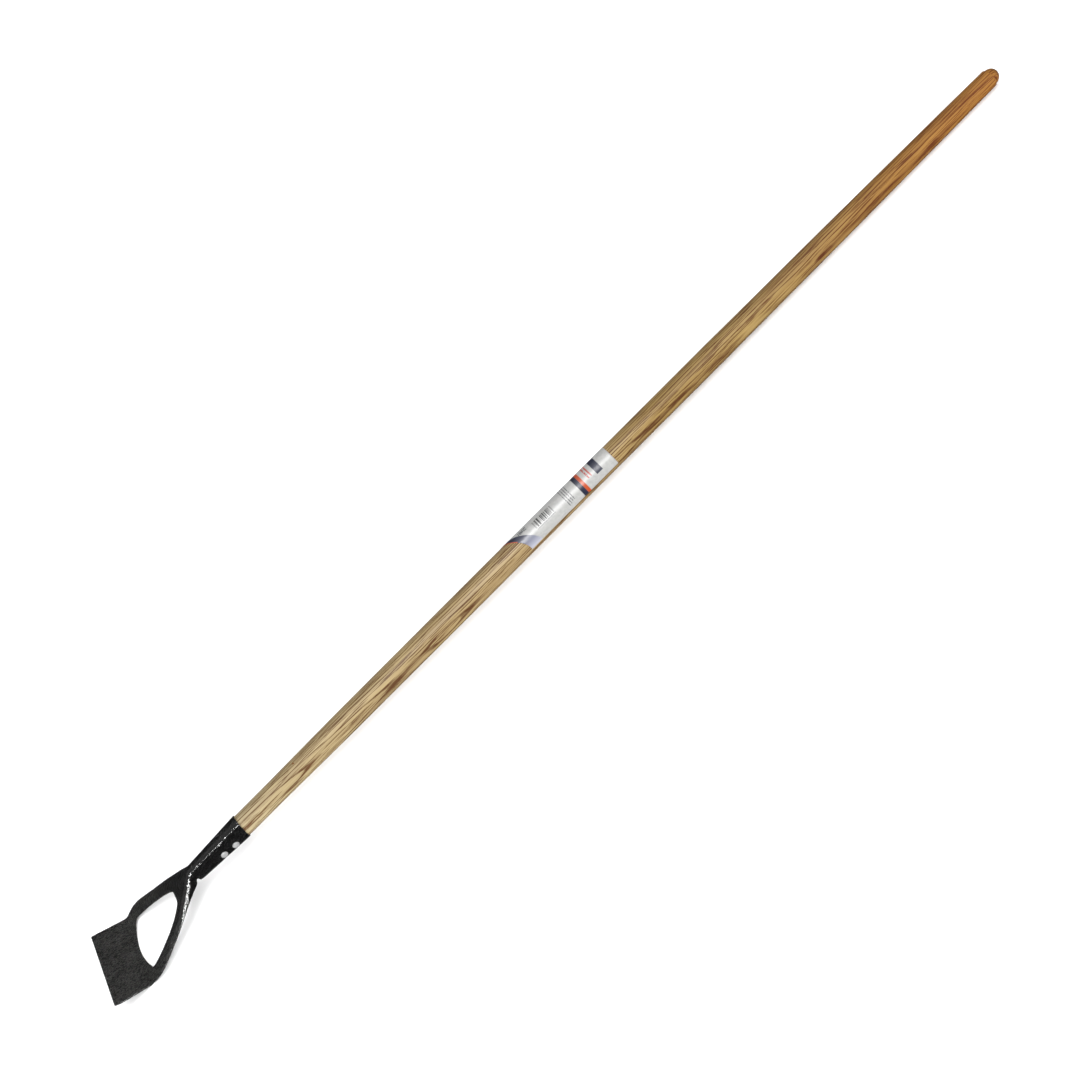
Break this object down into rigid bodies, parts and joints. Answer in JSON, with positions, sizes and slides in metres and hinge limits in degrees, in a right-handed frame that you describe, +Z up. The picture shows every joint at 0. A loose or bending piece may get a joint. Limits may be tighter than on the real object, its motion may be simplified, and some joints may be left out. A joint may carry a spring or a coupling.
{
  "type": "grub hoe",
  "caption": "Long-handled grub hoe with an open-centre steel head, a rolled socket fixed by through rivets and a tapered ash handle.",
  "frame": {"origin": "centre of the footprint, on the floor that the tool lies on", "axes": "+X along the handle from the blade to the grip end (the handle's axis dips 0.49 degrees towards the grip end), +Y across the blade, +Z up, with the socket's seam and the blade's ground side underneath"},
  "size_m": [1.5504, 0.1398, 0.0397],
  "materials": {
    "ash_wood": "oiled ash, satin, with a darker ring-porous grain along the handle",
    "black_hammertone_paint": "black hammertone enamel, semi-gloss",
    "rivet_steel": "bright zinc-plated steel, satin",
    "label_film": "printed sticker film, satin"
  },
  "bodies": {
    "root": {"handle": "ash_wood", "hoe_head": "black_hammertone_paint", "rivet_upper": "rivet_steel", "rivet_lower": "rivet_steel", "label": "label_film"}
  },
  "joints": []
}
